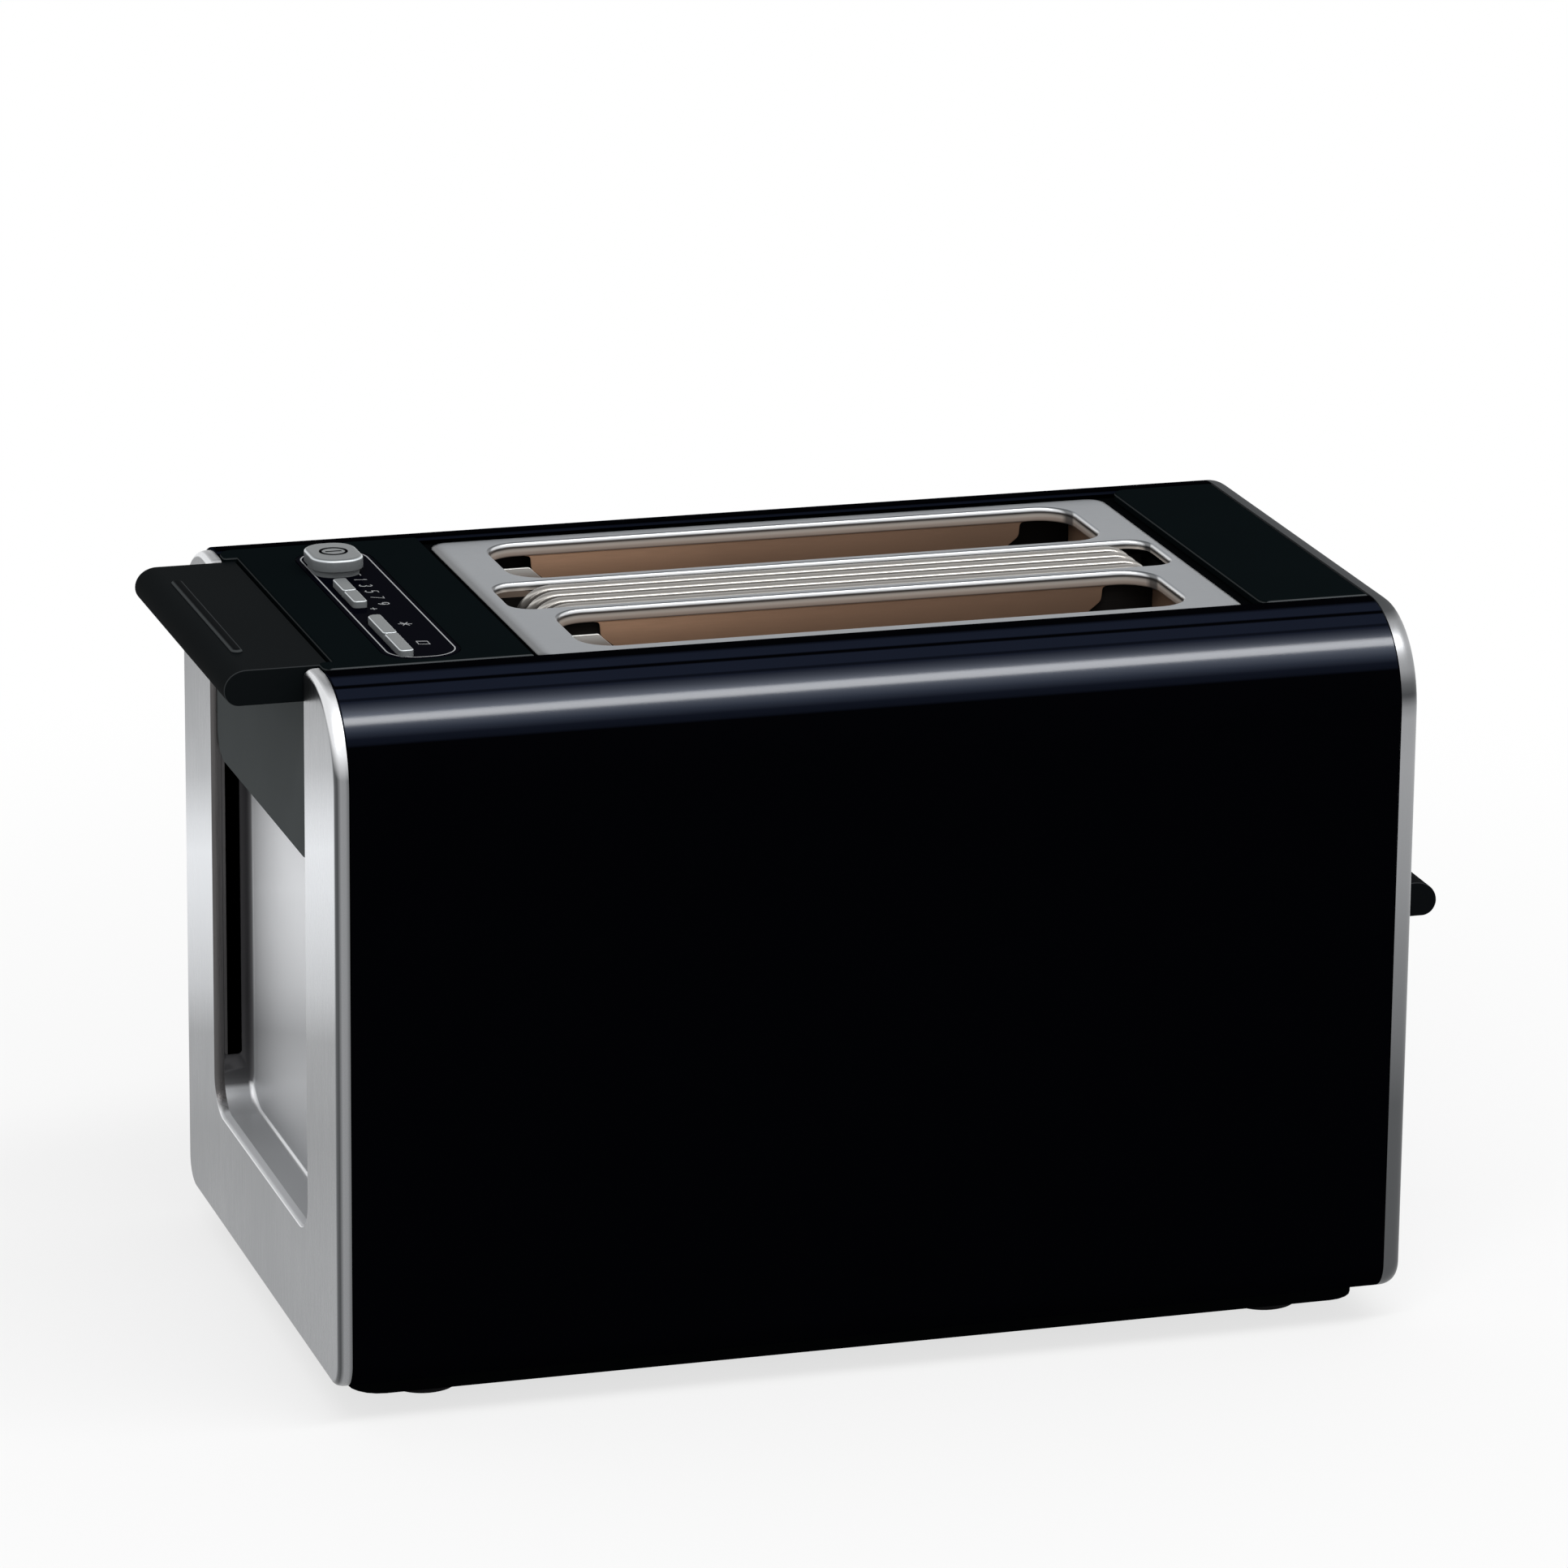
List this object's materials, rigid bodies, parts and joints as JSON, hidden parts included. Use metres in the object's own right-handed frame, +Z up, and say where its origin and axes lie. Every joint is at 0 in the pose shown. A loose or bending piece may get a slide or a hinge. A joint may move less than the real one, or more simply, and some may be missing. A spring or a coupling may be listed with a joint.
{
  "type": "toaster",
  "caption": "Long-bodied slot toaster with a wide lift lever, press controls on top, a bun rack with its own lever, and a crumb tray.",
  "frame": {"origin": "on the ground under the middle of the toaster's box", "axes": "+Z up, +X along the length towards the bun rack lever, -Y towards the front shell; the main lever and the controls are at -X"},
  "size_m": [0.3192, 0.166, 0.1928],
  "materials": {
    "gloss_black": "high gloss black lacquer",
    "gloss_panel": "gloss black with a thin white outline",
    "satin_black": "satin black moulded plastic",
    "skirt_grey": "satin dark grey",
    "brushed_steel": "vertical brushed grain",
    "satin_steel": "fine satin",
    "polished_steel": "polished wire",
    "sheet_steel": "plain rolled sheet",
    "silver_plastic": "silver metallised plastic",
    "rubber": "matt moulded rubber",
    "mica": "mica sheet",
    "board_green": "circuit board",
    "magnet_copper": "wound coil on a steel core"
  },
  "bodies": {
    "housing": {"base_plate": "satin_black", "base_screw_front_left": "polished_steel", "base_screw_front_right": "polished_steel", "base_screw_rear_left": "polished_steel", "base_screw_rear_right": "polished_steel", "foot_front_left": "rubber", "foot_front_right": "rubber", "foot_rear_left": "rubber", "foot_rear_right": "rubber", "front_shell": "gloss_black", "rear_shell": "gloss_black", "left_end_cap": "brushed_steel", "right_end_cap": "brushed_steel", "top_frame": "satin_black", "control_deck": "satin_black", "right_deck": "satin_black", "slot_plate": "satin_steel", "control_panel": "gloss_panel", "control_board": "board_green", "left_bulkhead": "sheet_steel", "right_bulkhead": "sheet_steel", "front_outer_heater": "mica", "front_inner_heater": "mica", "rear_inner_heater": "mica", "rear_outer_heater": "mica", "front_reflector": "sheet_steel", "rear_reflector": "sheet_steel", "guide_rod": "polished_steel", "return_spring": "polished_steel", "holding_magnet": "magnet_copper", "cord_gland": "rubber"},
    "bread_lift": {"front_lifter": "sheet_steel", "rear_lifter": "sheet_steel", "carriage": "sheet_steel", "armature": "sheet_steel", "lever_yoke": "sheet_steel", "lever_skirt": "skirt_grey", "lever_handle": "satin_black"},
    "front_outer_guard_body": {"front_outer_guard": "polished_steel"},
    "front_inner_guard_body": {"front_inner_guard": "polished_steel"},
    "rear_inner_guard_body": {"rear_inner_guard": "polished_steel"},
    "rear_outer_guard_body": {"rear_outer_guard": "polished_steel"},
    "bun_rack": {"bun_rod_1": "polished_steel", "bun_rod_2": "polished_steel", "bun_rod_3": "polished_steel", "bun_rod_4": "polished_steel", "bun_rack_frame": "sheet_steel", "bun_rack_yoke": "sheet_steel", "bun_lever_plate": "skirt_grey", "bun_lever_handle": "satin_black"},
    "power_button_body": {"power_button": "silver_plastic"},
    "minus_key_body": {"minus_key": "silver_plastic"},
    "plus_key_body": {"plus_key": "silver_plastic"},
    "thaw_key_body": {"thaw_key": "silver_plastic"},
    "stop_key_body": {"stop_key": "silver_plastic"},
    "tray": {"crumb_tray": "sheet_steel"}
  },
  "joints": [
    {"name": "bread_lift_slide", "type": "slide", "parent": "housing", "child": "bread_lift", "axis": [0, 0, 1], "range_m": [-0.09, 0.014], "stiffness_N_per_m": 100, "springref_m": 0.02, "deforming": ["return_spring"]},
    {"name": "front_outer_guard_hinge", "type": "hinge", "parent": "housing", "child": "front_outer_guard_body", "pos_m": [0, -0.0487, 0.024], "axis": [1, 0, 0], "range_deg": [-4.1, 0.7]},
    {"name": "front_inner_guard_hinge", "type": "hinge", "parent": "housing", "child": "front_inner_guard_body", "pos_m": [0, -0.0178, 0.024], "axis": [1, 0, 0], "range_deg": [-0.7, 4.1]},
    {"name": "rear_inner_guard_hinge", "type": "hinge", "parent": "housing", "child": "rear_inner_guard_body", "pos_m": [0, 0.0178, 0.024], "axis": [1, 0, 0], "range_deg": [-4.1, 0.7]},
    {"name": "rear_outer_guard_hinge", "type": "hinge", "parent": "housing", "child": "rear_outer_guard_body", "pos_m": [0, 0.0487, 0.024], "axis": [1, 0, 0], "range_deg": [-0.7, 4.1]},
    {"name": "bun_rack_slide", "type": "slide", "parent": "housing", "child": "bun_rack", "axis": [0, 0, 1], "range_m": [0, 0.04]},
    {"name": "power_button_press", "type": "slide", "parent": "housing", "child": "power_button_body", "axis": [0, 0, 1], "range_m": [-0.001, 0], "stiffness_N_per_m": 400, "springref_m": 0.001},
    {"name": "minus_key_press", "type": "slide", "parent": "housing", "child": "minus_key_body", "axis": [0, 0, 1], "range_m": [-0.001, 0], "stiffness_N_per_m": 300, "springref_m": 0.001},
    {"name": "plus_key_press", "type": "slide", "parent": "housing", "child": "plus_key_body", "axis": [0, 0, 1], "range_m": [-0.001, 0], "stiffness_N_per_m": 300, "springref_m": 0.001},
    {"name": "thaw_key_press", "type": "slide", "parent": "housing", "child": "thaw_key_body", "axis": [0, 0, 1], "range_m": [-0.001, 0], "stiffness_N_per_m": 300, "springref_m": 0.001},
    {"name": "stop_key_press", "type": "slide", "parent": "housing", "child": "stop_key_body", "axis": [0, 0, 1], "range_m": [-0.001, 0], "stiffness_N_per_m": 300, "springref_m": 0.001},
    {"name": "crumb_tray_slide", "type": "slide", "parent": "housing", "child": "tray", "axis": [1, 0, 0], "range_m": [0, 0.16]}
  ],
  "couplings": [
    {"joint": "front_outer_guard_hinge", "follows": "bread_lift_slide", "rad_per_m": 0.7757},
    {"joint": "front_inner_guard_hinge", "follows": "bread_lift_slide", "rad_per_m": -0.7757},
    {"joint": "rear_inner_guard_hinge", "follows": "bread_lift_slide", "rad_per_m": 0.7757},
    {"joint": "rear_outer_guard_hinge", "follows": "bread_lift_slide", "rad_per_m": -0.7757}
  ]
}
